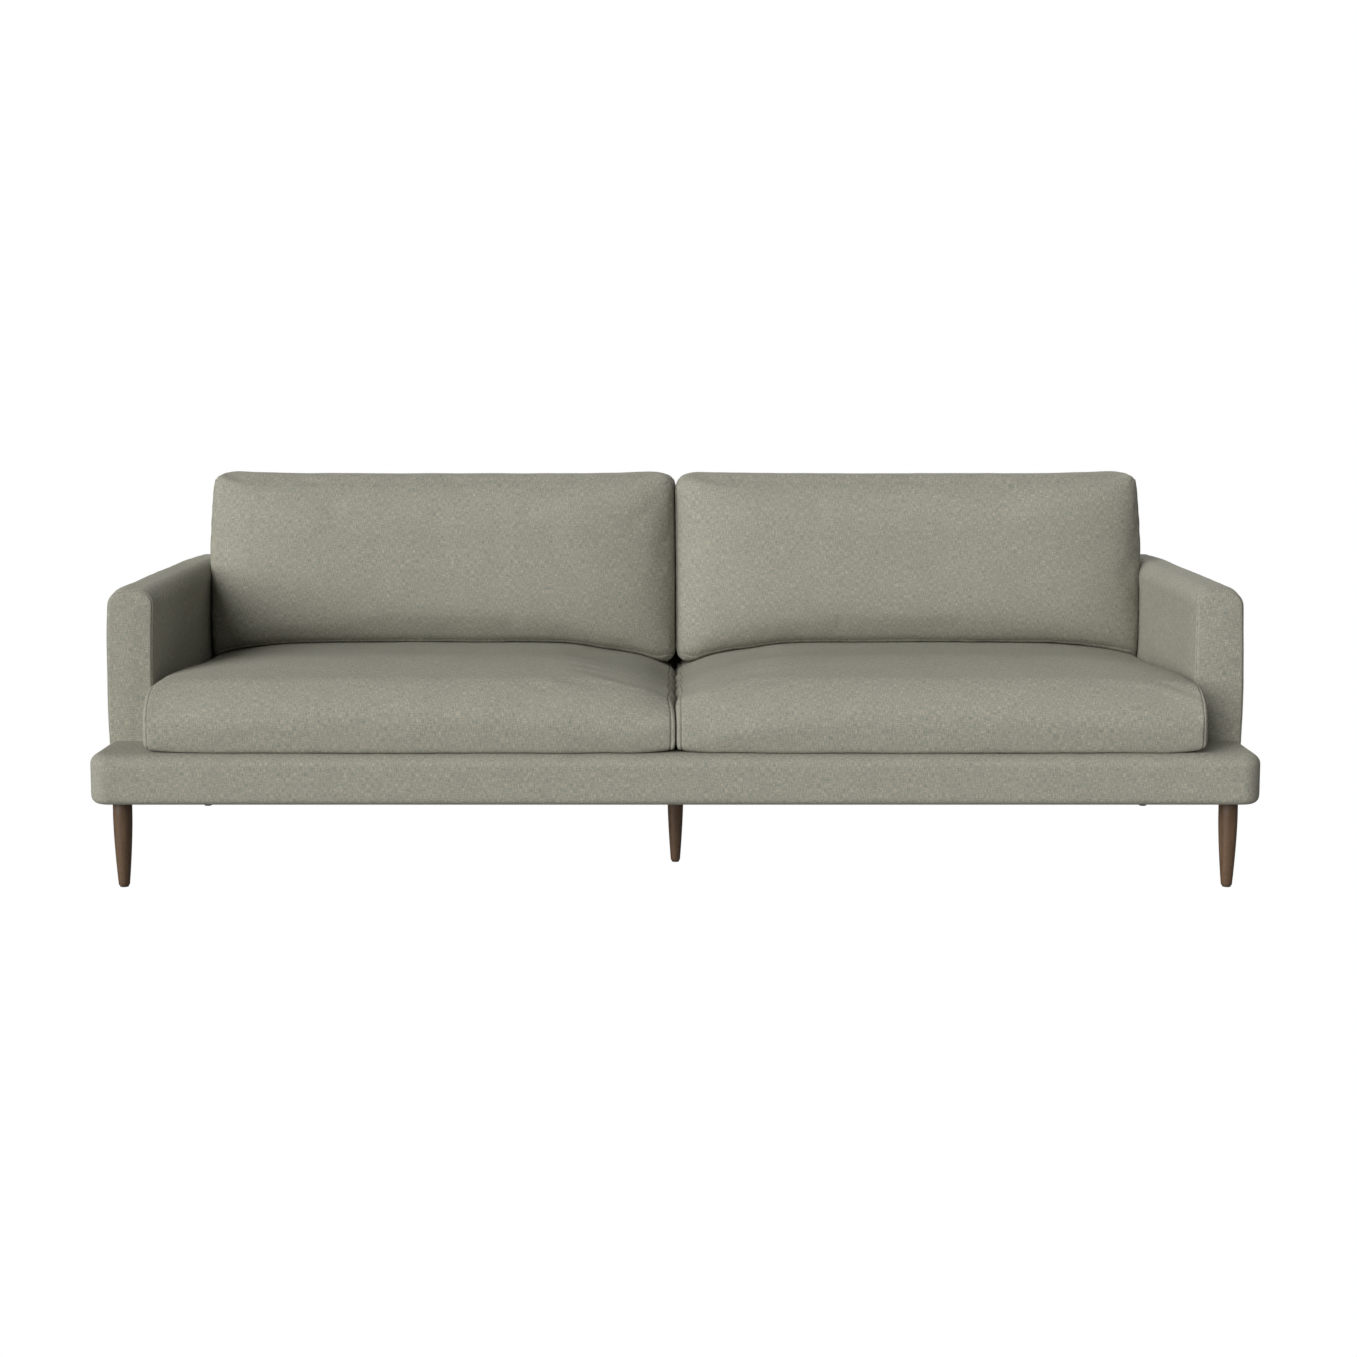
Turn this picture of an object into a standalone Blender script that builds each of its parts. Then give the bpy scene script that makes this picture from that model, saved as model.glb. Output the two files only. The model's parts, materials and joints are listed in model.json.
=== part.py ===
"""A three-seat sofa on turned wooden legs, built as the separate pieces that it comes apart into.

A padded platform stands on five legs. Two arms and a low back, all of one height, are bolted on the platform,
set back from its front edge. Two seat cushions lie on the platform and run out past the arms, and two back
cushions stand on them and lean back.

Metres, +Z up, +Y to the back, +X to the right as seen from the front. The origin is on the floor under the
middle of the footprint. Left and right are as seen from the front.
"""

import math

import bmesh
import bpy
from mathutils import Vector

# Overall sizes
WIDTH = 2.320
DEPTH = 0.940
UNDERSIDE = 0.178
BASE_TOP = 0.278
ARM_TOP = 0.587
ARM_WIDTH = 0.095
ARM_INSET = 0.003
ARM_SETBACK = 0.167
BACK_THICKNESS = 0.095

HALF_WIDTH = WIDTH / 2
FRONT = -DEPTH / 2
REAR = DEPTH / 2
ARM_OUTER = HALF_WIDTH - ARM_INSET
ARM_INNER = ARM_OUTER - ARM_WIDTH
ARM_FRONT = FRONT + ARM_SETBACK
BACK_FRONT = REAR - BACK_THICKNESS

# Pieces that touch keep this gap, and lengths under TINY count as nothing
GAP = 0.0003
TINY = 0.00001

# Upholstery: foam and fabric over the frames
BASE_PADDING = 0.024
DECK_PADDING = 0.016
BODY_PADDING = 0.020
BASE_CORNER_RADIUS = 0.040
BASE_EDGE_RADIUS = 0.018
BODY_EDGE_RADIUS = 0.014
BODY_FRONT_RADIUS = 0.015
BODY_REAR_RADIUS = 0.045

# Timber
TIMBER_UNDERSIDE = 0.181
RAIL_HEIGHT = 0.070
RAIL_THICKNESS = 0.025
SIDE_RAIL_WIDTH = 0.062
BODY_RAIL_HEIGHT = 0.040
POST_WIDTH = 0.050

# Webbing and dust cover
STRAP_WIDTH = 0.070
STRAP_THICKNESS = 0.002
STRAP_HALF_LENGTH = 0.440
STRAP_PLACES = (-0.87, -0.53, -0.19, 0.19, 0.53, 0.87)
DUST_COVER_THICKNESS = 0.001
DUST_COVER_TOP = TIMBER_UNDERSIDE - GAP

# Legs: straight above, then a taper that steepens towards the tip
LEG_RADIUS = 0.019
LEG_TIP_RADIUS = 0.011
CENTRE_LEG_SCALE = 0.89
LEG_TAPER_HEIGHT = 0.125
LEG_TAPER_POWER = 1.7
LEG_TAPER_STEPS = 7
LEG_SIDES = 20
LEG_INSET = 0.0515
FRONT_LEG_Y = FRONT + 0.065
REAR_LEG_Y = REAR - 0.110
CENTRE_LEG_Y = FRONT + 0.275
GLIDE_RADIUS = 0.009
GLIDE_THICKNESS = 0.003
PLATE_SIDE = 0.050
PLATE_THICKNESS = 0.0025
PLATE_CORNER_RADIUS = 0.006
PLATE_TOP = DUST_COVER_TOP - DUST_COVER_THICKNESS - GAP
LEG_TOP = PLATE_TOP - PLATE_THICKNESS - GAP
LEG_BOTTOM = GLIDE_THICKNESS + GAP

# Fasteners
THREAD_RADIUS = 0.004
STUD_IN_LEG = 0.030
STUD_IN_TIMBER = 0.029
HOLE_CLEARANCE = 0.0005
BOLT_HEAD_RADIUS = 0.007
BOLT_HEAD_HEIGHT = 0.005
BOLT_HEAD_RECESS = 0.0025
BOLT_IN_ARM = 0.027
BOLT_PLACES = {"front": -0.200, "rear": 0.300}
FASTENER_SIDES = 16

# Cushions
CUSHION_SPLIT = 0.003
SEAT_SIDE_GAP = 0.007
BACK_SIDE_GAP = 0.009
SEAT_EDGE_RADIUS = 0.024
BACK_EDGE_RADIUS = 0.030
SEAT_UNDERSIDE = BASE_TOP + GAP
SEAT_FRONT = FRONT + 0.025
SEAT_REAR = BACK_FRONT - 0.005
SEAT_EDGE_HEIGHT = 0.405
SEAT_CROWN_HEIGHT = 0.432
SEAT_REAR_HEIGHT = 0.380
BACK_UNDERSIDE = 0.3825
BACK_CUSHION_TOP = 0.792
BACK_CUSHION_FRONT = 0.150
BACK_CUSHION_THICKNESS = 0.195
RECLINE = math.radians(8)
COVER_THICKNESS = 0.002
CORE_INSET = 0.0025
ZIP_WIDTH = 0.003
ZIP_END_MARGIN = 0.080
ARC_STEPS = 5

PARTS = "sofa_with_wooden_legs"
CUTTERS = "cutters"

# Colour, roughness and metallic
FINISHES = {
    "upholstery": ((0.300, 0.290, 0.235), 0.95, 0.0),
    "foam": ((0.780, 0.740, 0.600), 0.95, 0.0),
    "timber": ((0.560, 0.400, 0.240), 0.75, 0.0),
    "walnut": ((0.130, 0.085, 0.055), 0.45, 0.0),
    "webbing": ((0.120, 0.110, 0.095), 0.90, 0.0),
    "dust_cloth": ((0.015, 0.015, 0.016), 0.95, 0.0),
    "steel": ((0.420, 0.420, 0.430), 0.40, 1.0),
    "felt": ((0.060, 0.045, 0.035), 1.00, 0.0),
}


def clear_scene():
    for obj in list(bpy.data.objects):
        bpy.data.objects.remove(obj, do_unlink=True)


def collection(name):
    found = bpy.data.collections.get(name)
    if found is None:
        found = bpy.data.collections.new(name)
        bpy.context.scene.collection.children.link(found)
    return found


def material(finish):
    found = bpy.data.materials.get(finish)
    if found is None:
        colour, roughness, metallic = FINISHES[finish]
        found = bpy.data.materials.new(finish)
        found.use_nodes = True
        shader = found.node_tree.nodes["Principled BSDF"]
        shader.inputs["Base Color"].default_value = (*colour, 1.0)
        shader.inputs["Roughness"].default_value = roughness
        shader.inputs["Metallic"].default_value = metallic
        found.diffuse_color = (*colour, 1.0)
    return found


def place(name, data, finish=None):
    """Puts the data in the scene as a part, or, when it has no finish, as a hidden cutter."""
    obj = bpy.data.objects.new(name, data)
    if finish is None:
        collection(CUTTERS).objects.link(obj)
        obj.hide_render = True
        obj.display_type = "WIRE"
    else:
        collection(PARTS).objects.link(obj)
        data.materials.append(material(finish))
    return obj


def upright_edges(x_sign=0, y_sign=0):
    """Chooses vertical edges. A sign keeps only those on that side of the block's middle."""

    def chosen(start, end, half_size):
        vertical = (start - end).xy.length < TINY
        return vertical and start.x * x_sign >= 0 and start.y * y_sign >= 0

    return chosen


def rim_edges(z_sign, along_x_only=False):
    """Chooses the edges round the top of a block, or round its bottom when the sign is -1."""

    def chosen(start, end, half_size):
        level = min(start.z * z_sign, end.z * z_sign) > half_size.z - TINY
        return level and (not along_x_only or abs(start.y - end.y) < TINY)

    return chosen


def block(name, low, high, finish=None, rounds=()):
    """A box between two corners, with its origin in its middle.

    Each round is (chosen, radius, segments). They are applied in order, and chosen says whether an edge is
    rounded, from its two ends and the box's half size, measured from the middle of the box.
    """
    low, high = Vector(low), Vector(high)
    size = high - low
    shape = bmesh.new()
    bmesh.ops.create_cube(shape, size=1.0)
    bmesh.ops.scale(shape, vec=size, verts=shape.verts)
    for chosen, radius, segments in rounds:
        edges = [edge for edge in shape.edges if chosen(edge.verts[0].co, edge.verts[1].co, size / 2)]
        bmesh.ops.bevel(
            shape,
            geom=edges,
            offset=radius,
            segments=segments,
            profile=0.5,
            affect="EDGES",
        )
    mesh = bpy.data.meshes.new(name)
    shape.to_mesh(mesh)
    shape.free()
    obj = place(name, mesh, finish)
    obj.location = (low + high) / 2
    return obj


def turned(name, profile, centre, finish=None, sides=FASTENER_SIDES):
    """A turned piece. The profile lists (radius, height) down its outer side, from the axis to the axis."""
    mesh = bpy.data.meshes.new(name)
    points = [(radius, 0.0, height) for radius, height in profile]
    mesh.from_pydata(points, [(i, i + 1) for i in range(len(points) - 1)], [])
    obj = place(name, mesh, finish)
    obj.location = (*centre, 0.0)
    screw = obj.modifiers.new("turn", "SCREW")
    screw.steps = sides
    screw.render_steps = sides
    screw.use_merge_vertices = True
    screw.merge_threshold = TINY
    return obj


def rod(name, radius, bottom, top, centre, finish=None):
    return turned(name, [(0, top), (radius, top), (radius, bottom), (0, bottom)], centre, finish)


def cut(target, cutter):
    boolean = target.modifiers.new("cut_" + cutter.name, "BOOLEAN")
    boolean.operation = "DIFFERENCE"
    boolean.solver = "EXACT"
    boolean.object = cutter


def hollow(target, low, high):
    """Cuts a box out of the target, which opens it where the box runs past its surface."""
    cut(target, block(target.name + "_hollow", low, high))


def base_frame():
    """The platform's timber: a front and a rear rail, and between them three rails that carry the legs."""
    outer_x = HALF_WIDTH - BASE_PADDING - GAP
    outer_y = REAR - BASE_PADDING - GAP
    inner_y = outer_y - RAIL_THICKNESS
    low, high = TIMBER_UNDERSIDE, TIMBER_UNDERSIDE + RAIL_HEIGHT
    block("base_front_rail", (-outer_x, -outer_y, low), (outer_x, -inner_y, high), "timber")
    block("base_rear_rail", (-outer_x, inner_y, low), (outer_x, outer_y, high), "timber")
    rails = {}
    for name, sign in (("left", -1), ("centre", 0), ("right", 1)):
        middle = sign * (outer_x - SIDE_RAIL_WIDTH / 2)
        rails[name] = block(
            f"base_{name}_rail",
            (middle - SIDE_RAIL_WIDTH / 2, -inner_y + GAP, low),
            (middle + SIDE_RAIL_WIDTH / 2, inner_y - GAP, high),
            "timber",
        )
    return rails


def webbing():
    """Elastic straps over the platform's frame, from the front rail to the rear rail."""
    bottom = TIMBER_UNDERSIDE + RAIL_HEIGHT + GAP
    for number, x in enumerate(STRAP_PLACES, start=1):
        block(
            f"webbing_strap_{number}",
            (x - STRAP_WIDTH / 2, -STRAP_HALF_LENGTH, bottom),
            (x + STRAP_WIDTH / 2, STRAP_HALF_LENGTH, bottom + STRAP_THICKNESS),
            "webbing",
        )


def base_upholstery():
    """The padded cover round the platform, which is open below, and the cloth that closes it."""
    cover = block(
        "base_cover",
        (-HALF_WIDTH, FRONT, UNDERSIDE),
        (HALF_WIDTH, REAR, BASE_TOP),
        "upholstery",
        [
            (upright_edges(), BASE_CORNER_RADIUS, 5),
            (rim_edges(1), BASE_EDGE_RADIUS, 3),
            (rim_edges(-1), BASE_EDGE_RADIUS, 3),
        ],
    )
    inner_x, inner_y = HALF_WIDTH - BASE_PADDING, REAR - BASE_PADDING
    hollow(
        cover,
        (-inner_x, -inner_y, UNDERSIDE - BASE_PADDING),
        (inner_x, inner_y, BASE_TOP - DECK_PADDING),
    )
    cloth = block(
        "dust_cover",
        (-inner_x + GAP, -inner_y + GAP, DUST_COVER_TOP - DUST_COVER_THICKNESS),
        (inner_x - GAP, inner_y - GAP, DUST_COVER_TOP),
        "dust_cloth",
    )
    return cover, cloth


def leg_profile(scale):
    """(radius, height) down the leg, from the top of its axis to the bottom."""
    radius, tip_radius = LEG_RADIUS * scale, LEG_TIP_RADIUS * scale
    profile = [(0, LEG_TOP), (radius, LEG_TOP)]
    for step in range(LEG_TAPER_STEPS + 1):
        share = step / LEG_TAPER_STEPS
        height = LEG_TAPER_HEIGHT + (LEG_BOTTOM - LEG_TAPER_HEIGHT) * share
        profile.append((radius + (tip_radius - radius) * share**LEG_TAPER_POWER, height))
    profile.append((0, LEG_BOTTOM))
    return profile


def leg(position, centre, scale, bored):
    """A leg with its felt glide, plate and threaded stud. The stud goes through what is in bored as well."""
    x, y = centre
    post = turned(f"{position}_leg", leg_profile(scale), centre, "walnut", LEG_SIDES)
    rod(f"{position}_glide", GLIDE_RADIUS * scale, 0.0, GLIDE_THICKNESS, centre, "felt")
    plate = block(
        f"{position}_leg_plate",
        (x - PLATE_SIDE / 2, y - PLATE_SIDE / 2, PLATE_TOP - PLATE_THICKNESS),
        (x + PLATE_SIDE / 2, y + PLATE_SIDE / 2, PLATE_TOP),
        "steel",
        [(upright_edges(), PLATE_CORNER_RADIUS, 3)],
    )
    bottom, top = LEG_TOP - STUD_IN_LEG, TIMBER_UNDERSIDE + STUD_IN_TIMBER
    rod(f"{position}_leg_stud", THREAD_RADIUS, bottom, top, centre, "steel")
    hole = rod(
        f"{position}_stud_hole",
        THREAD_RADIUS + HOLE_CLEARANCE,
        bottom - HOLE_CLEARANCE,
        top + HOLE_CLEARANCE,
        centre,
    )
    for piece in (post, plate, *bored):
        cut(piece, hole)


def legs(rails, dust_cover):
    """Four corner legs and a thinner one under the middle, each screwed into the rail over it."""
    for side, sign in (("left", -1), ("right", 1)):
        for end, y in (("front", FRONT_LEG_Y), ("rear", REAR_LEG_Y)):
            centre = (sign * (HALF_WIDTH - LEG_INSET), y)
            leg(f"{end}_{side}", centre, 1.0, (rails[side], dust_cover))
    leg("centre", (0.0, CENTRE_LEG_Y), CENTRE_LEG_SCALE, (rails["centre"], dust_cover))


def bolt_profile(head_radius, shank_radius, bottom, shoulder, top):
    return [
        (0, top),
        (shank_radius, top),
        (shank_radius, shoulder),
        (head_radius, shoulder),
        (head_radius, bottom),
        (0, bottom),
    ]


def arm_bolt(name, centre, bored):
    """A bolt with its head sunk in the platform's side rail and its thread in the arm's bottom rail."""
    bottom = TIMBER_UNDERSIDE + BOLT_HEAD_RECESS
    shoulder, top = bottom + BOLT_HEAD_HEIGHT, BASE_TOP + BOLT_IN_ARM
    turned(name, bolt_profile(BOLT_HEAD_RADIUS, THREAD_RADIUS, bottom, shoulder, top), centre, "steel")
    hole = turned(
        name + "_hole",
        bolt_profile(
            BOLT_HEAD_RADIUS + HOLE_CLEARANCE,
            THREAD_RADIUS + HOLE_CLEARANCE,
            TIMBER_UNDERSIDE - BOLT_HEAD_RECESS,
            shoulder + HOLE_CLEARANCE,
            top + HOLE_CLEARANCE,
        ),
        centre,
    )
    for piece in bored:
        cut(piece, hole)


def timber_panel(name, low, high, posts):
    """A bottom rail, a top rail and posts between them. A post is (name, low corner, high corner) in plan."""
    (low_x, low_y, bottom), (high_x, high_y, top) = low, high
    bottom_rail_top, top_rail_bottom = bottom + BODY_RAIL_HEIGHT, top - BODY_RAIL_HEIGHT
    bottom_rail = block(
        f"{name}_bottom_rail", (low_x, low_y, bottom), (high_x, high_y, bottom_rail_top), "timber"
    )
    block(f"{name}_top_rail", (low_x, low_y, top_rail_bottom), (high_x, high_y, top), "timber")
    for post_name, post_low, post_high in posts:
        block(
            f"{name}_{post_name}_post",
            (*post_low, bottom_rail_top + GAP),
            (*post_high, top_rail_bottom - GAP),
            "timber",
        )
    return bottom_rail


def arm(side, sign, side_rail, base_cover):
    """One arm: a timber frame in a padded cover that is open below, bolted down through the platform."""
    low_x, high_x = sorted((sign * ARM_INNER, sign * ARM_OUTER))
    cover = block(
        f"{side}_arm_cover",
        (low_x, ARM_FRONT, BASE_TOP + GAP),
        (high_x, REAR, ARM_TOP),
        "upholstery",
        [
            (upright_edges(x_sign=sign, y_sign=1), BODY_REAR_RADIUS, 6),
            (upright_edges(y_sign=-1), BODY_FRONT_RADIUS, 3),
            (rim_edges(1), BODY_EDGE_RADIUS, 4),
        ],
    )
    low_x, high_x = low_x + BODY_PADDING, high_x - BODY_PADDING
    low_y, high_y = ARM_FRONT + BODY_PADDING, REAR - BODY_PADDING
    hollow(cover, (low_x, low_y, BASE_TOP - BODY_PADDING), (high_x, high_y, ARM_TOP - BODY_PADDING))
    low_x, high_x, low_y, high_y = low_x + GAP, high_x - GAP, low_y + GAP, high_y - GAP
    bottom_rail = timber_panel(
        f"{side}_arm",
        (low_x, low_y, BASE_TOP + 2 * GAP),
        (high_x, high_y, ARM_TOP - BODY_PADDING - GAP),
        [
            ("front", (low_x, low_y), (high_x, low_y + POST_WIDTH)),
            ("rear", (low_x, high_y - POST_WIDTH), (high_x, high_y)),
        ],
    )
    for end, y in BOLT_PLACES.items():
        arm_bolt(f"{side}_arm_{end}_bolt", ((low_x + high_x) / 2, y), (side_rail, base_cover, bottom_rail))


def back():
    """The low back between the arms: a timber frame in a padded cover that is open below."""
    half = ARM_INNER - GAP
    cover = block(
        "back_cover",
        (-half, BACK_FRONT, BASE_TOP + GAP),
        (half, REAR, ARM_TOP),
        "upholstery",
        [(rim_edges(1, along_x_only=True), BODY_EDGE_RADIUS, 4)],
    )
    inner = half - BODY_PADDING
    low_y, high_y = BACK_FRONT + BODY_PADDING, REAR - BODY_PADDING
    hollow(cover, (-inner, low_y, BASE_TOP - BODY_PADDING), (inner, high_y, ARM_TOP - BODY_PADDING))
    inner, low_y, high_y = inner - GAP, low_y + GAP, high_y - GAP
    timber_panel(
        "back",
        (-inner, low_y, BASE_TOP + 2 * GAP),
        (inner, high_y, ARM_TOP - BODY_PADDING - GAP),
        [
            ("left", (-inner, low_y), (-inner + POST_WIDTH, high_y)),
            ("right", (inner - POST_WIDTH, low_y), (inner, high_y)),
        ],
    )


def rounded_outline(corners):
    """The points of a closed outline, anticlockwise. A corner is (across, up, radius), rounded by an arc."""
    points = []
    for i, (across, up, radius) in enumerate(corners):
        corner = Vector((across, up))
        before = (Vector(corners[i - 1][:2]) - corner).normalized()
        after = (Vector(corners[(i + 1) % len(corners)][:2]) - corner).normalized()
        half_angle = before.angle(after) / 2
        centre = corner + (before + after).normalized() * radius / math.sin(half_angle)
        first = corner + before * radius / math.tan(half_angle) - centre
        last = corner + after * radius / math.tan(half_angle) - centre
        start, sweep = math.atan2(first.y, first.x), -first.angle_signed(last)
        for step in range(ARC_STEPS + 1):
            angle = start + sweep * step / ARC_STEPS
            points.append(centre + radius * Vector((math.cos(angle), math.sin(angle))))
    return points


def cushion_mesh(name, corners, length, edge_radius):
    """A cushion lying on its side: an outline of (y, z, radius) corners, extruded along local Z.

    The edges round both ends have the edge radius, which has to be smaller than each corner's.
    """
    outline = bpy.data.curves.new(name, "CURVE")
    outline.dimensions = "2D"
    outline.fill_mode = "BOTH"
    outline.extrude = length / 2 - edge_radius
    outline.bevel_depth = edge_radius
    outline.bevel_resolution = 2
    outline.offset = -edge_radius
    spline = outline.splines.new("POLY")
    points = rounded_outline(corners)
    spline.points.add(len(points) - 1)
    for spline_point, point in zip(spline.points, points):
        spline_point.co = (*point, 0.0, 1.0)
    spline.use_cyclic_u = True
    guide = place(name + "_outline", outline)
    bpy.context.view_layer.update()
    mesh = bpy.data.meshes.new_from_object(guide.evaluated_get(bpy.context.evaluated_depsgraph_get()))
    bpy.data.objects.remove(guide, do_unlink=True)
    shape = bmesh.new()
    shape.from_mesh(mesh)
    bmesh.ops.remove_doubles(shape, verts=shape.verts, dist=TINY)
    bmesh.ops.recalc_face_normals(shape, faces=shape.faces)
    shape.to_mesh(mesh)
    shape.free()
    mesh.materials.clear()
    return mesh


def cushion(name, corners, ends, edge_radius, zip_low, zip_high, carrier=None):
    """A foam core in a fabric cover that is open along its zip, both on an empty where the cushion rests.

    The ends are the cushion's lowest and highest x. The zip's low and high corners are (y, z). The carrier is
    the empty of the cushion that this one stands on.
    """
    low_x, high_x = ends
    rest = Vector(((low_x + high_x) / 2, 0.0, min(corner[1] for corner in corners)))
    empty = bpy.data.objects.new(name, None)
    collection(PARTS).objects.link(empty)
    empty["rest"] = rest
    empty.parent = carrier
    empty.location = rest if carrier is None else rest - Vector(carrier["rest"])
    mesh = cushion_mesh(name, corners, high_x - low_x, edge_radius)
    core = place(name + "_core", mesh.copy(), "foam")
    shrink = core.modifiers.new("inside_cover", "DISPLACE")
    shrink.strength = -CORE_INSET
    shrink.mid_level = 0.0
    cover = place(name + "_cover", mesh, "upholstery")
    fabric = cover.modifiers.new("fabric", "SOLIDIFY")
    fabric.thickness = COVER_THICKNESS
    fabric.offset = -1.0
    for piece in (core, cover):
        piece.parent = empty
        piece.location = (0.0, 0.0, -rest.z)
        piece.rotation_euler = (math.radians(90), 0.0, math.radians(90))
    hollow(cover, (low_x + ZIP_END_MARGIN, *zip_low), (high_x - ZIP_END_MARGIN, *zip_high))
    return empty


def seat_outline():
    """The seat cushion from its side: a rounded front, a crown, and a lower rear under the back cushion."""
    return [
        (SEAT_FRONT, SEAT_UNDERSIDE, 0.030),
        (SEAT_REAR, SEAT_UNDERSIDE, 0.030),
        (SEAT_REAR, SEAT_REAR_HEIGHT, 0.030),
        (BACK_CUSHION_FRONT + 0.020, SEAT_REAR_HEIGHT + 0.001, 0.150),
        (BACK_CUSHION_FRONT - 0.090, SEAT_CROWN_HEIGHT - 0.008, 0.150),
        (SEAT_FRONT + 0.295, SEAT_CROWN_HEIGHT, 0.600),
        (SEAT_FRONT, SEAT_EDGE_HEIGHT, 0.045),
    ]


def back_outline():
    """The back cushion from its side: a slab that leans back by the recline."""
    lean = (BACK_CUSHION_TOP - BACK_UNDERSIDE) * math.tan(RECLINE)
    rear = BACK_CUSHION_FRONT + BACK_CUSHION_THICKNESS
    return [
        (BACK_CUSHION_FRONT, BACK_UNDERSIDE, 0.035),
        (rear, BACK_UNDERSIDE, 0.035),
        (rear + lean, BACK_CUSHION_TOP, 0.050),
        (BACK_CUSHION_FRONT + lean, BACK_CUSHION_TOP, 0.050),
    ]


def cushions():
    """Two seat cushions with a zip up the rear, and on each a back cushion with a zip along its underside."""
    seat_zip_z = (SEAT_UNDERSIDE + SEAT_REAR_HEIGHT) / 2
    seat_zip_low = (SEAT_REAR - 2 * COVER_THICKNESS, seat_zip_z - ZIP_WIDTH / 2)
    seat_zip_high = (SEAT_REAR + COVER_THICKNESS, seat_zip_z + ZIP_WIDTH / 2)
    back_zip_y = BACK_CUSHION_FRONT + BACK_CUSHION_THICKNESS / 2
    back_zip_low = (back_zip_y - ZIP_WIDTH / 2, BACK_UNDERSIDE - COVER_THICKNESS)
    back_zip_high = (back_zip_y + ZIP_WIDTH / 2, BACK_UNDERSIDE + 2 * COVER_THICKNESS)
    for side, sign in (("left", -1), ("right", 1)):
        seat = cushion(
            f"{side}_seat_cushion",
            seat_outline(),
            sorted((sign * CUSHION_SPLIT, sign * (ARM_INNER - SEAT_SIDE_GAP))),
            SEAT_EDGE_RADIUS,
            seat_zip_low,
            seat_zip_high,
        )
        cushion(
            f"{side}_back_cushion",
            back_outline(),
            sorted((sign * CUSHION_SPLIT, sign * (ARM_INNER - BACK_SIDE_GAP))),
            BACK_EDGE_RADIUS,
            back_zip_low,
            back_zip_high,
            seat,
        )


def main():
    clear_scene()
    rails = base_frame()
    webbing()
    base_cover, dust_cover = base_upholstery()
    legs(rails, dust_cover)
    for side, sign in (("left", -1), ("right", 1)):
        arm(side, sign, rails[side], base_cover)
    back()
    cushions()


main()
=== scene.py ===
"""The looks of the sofa: upholstery, cushions, legs, their materials, the studio and the camera.

Metres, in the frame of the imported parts: +X to the right as seen from the front, +Y to the back, +Z up.
"""

import json
import math

import bpy
import numpy as np
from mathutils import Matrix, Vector
from mathutils.bvhtree import BVHTree


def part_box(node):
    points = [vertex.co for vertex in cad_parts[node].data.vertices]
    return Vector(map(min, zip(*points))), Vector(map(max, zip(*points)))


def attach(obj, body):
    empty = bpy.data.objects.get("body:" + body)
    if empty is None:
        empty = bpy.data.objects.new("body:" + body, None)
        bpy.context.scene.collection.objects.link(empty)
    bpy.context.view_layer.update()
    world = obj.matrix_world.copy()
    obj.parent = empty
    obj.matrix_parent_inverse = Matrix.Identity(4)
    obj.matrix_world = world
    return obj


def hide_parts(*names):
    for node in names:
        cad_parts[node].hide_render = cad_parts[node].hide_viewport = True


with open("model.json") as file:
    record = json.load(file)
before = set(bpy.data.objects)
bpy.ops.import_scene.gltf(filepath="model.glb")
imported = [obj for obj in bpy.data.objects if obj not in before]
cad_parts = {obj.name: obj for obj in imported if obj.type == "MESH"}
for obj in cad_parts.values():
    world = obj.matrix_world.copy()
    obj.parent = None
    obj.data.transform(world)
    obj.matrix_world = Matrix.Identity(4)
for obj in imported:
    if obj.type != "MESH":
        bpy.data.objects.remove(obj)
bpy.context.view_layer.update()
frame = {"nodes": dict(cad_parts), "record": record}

# The camera: where it stands, how far it looks down, and how far its frame is shifted
CAMERA_PLACE = (0.0, -4.572, 1.068)
CAMERA_PITCH = math.radians(5.3)
CAMERA_LENS = 56.0
CAMERA_SENSOR = 36.0
CAMERA_SHIFT = (0.0023, -0.0954)

# Light: the direction to each broad lamp, its strength and its spread in degrees. A dim surround adds to them
KEY_LIGHT = ((-0.61, -0.69, 0.34), 3.75, 55)
REAR_LIGHT = ((0.25, 1.0, 0.45), 1.4, 50)
SURROUND = 0.24
FLOOR_REACH = 60.0
WHITE = (1.0, 1.0, 1.0, 1.0)
BLACK = (0.0, 0.0, 0.0, 1.0)

# Colours, from dark to light, each at its place on the ramp
YARN_COLOURS = [
    (0.34, (0.165, 0.180, 0.166)),
    (0.46, (0.270, 0.268, 0.220)),
    (0.54, (0.340, 0.322, 0.260)),
    (0.66, (0.510, 0.455, 0.348)),
]
HAZE_COLOUR = (0.262, 0.280, 0.243, 1.0)
# Painted shade: the dark colour that the fabric is drawn towards along its seams, standing in for the shade
# in their grooves
SEAM_SHADE_COLOUR = (0.075, 0.072, 0.058, 1.0)
SHEEN_COLOUR = (0.95, 0.94, 0.88, 1.0)
WALNUT_COLOURS = [
    (0.28, (0.045, 0.024, 0.012)),
    (0.48, (0.100, 0.057, 0.030)),
    (0.72, (0.170, 0.101, 0.055)),
]
FIGURE_COLOUR = (0.120, 0.070, 0.038, 1.0)

# Names of the map that the weave follows, and of the attribute that holds the distance to the nearest seam
WEAVE_MAP = "weave"
SEAM = "seam"

# Gaps: between one fabric and the next, round the timber inside a panel, and over the webbing
CLEARANCE = 0.0010
TIMBER_GAP = 0.0005
DECK_GAP = 0.010
TINY = 0.000001
MERGE_DISTANCE = 0.00001

# Seams: half the width of their groove, its depth on each kind of piece, and a distance that shows no groove
STITCH_WIDTH = 0.0018
PANEL_GROOVE = 0.0012
SEAT_GROOVE = 0.0018
PILLOW_GROOVE = 0.0020
FAR_FROM_SEAM = 0.05

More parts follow.
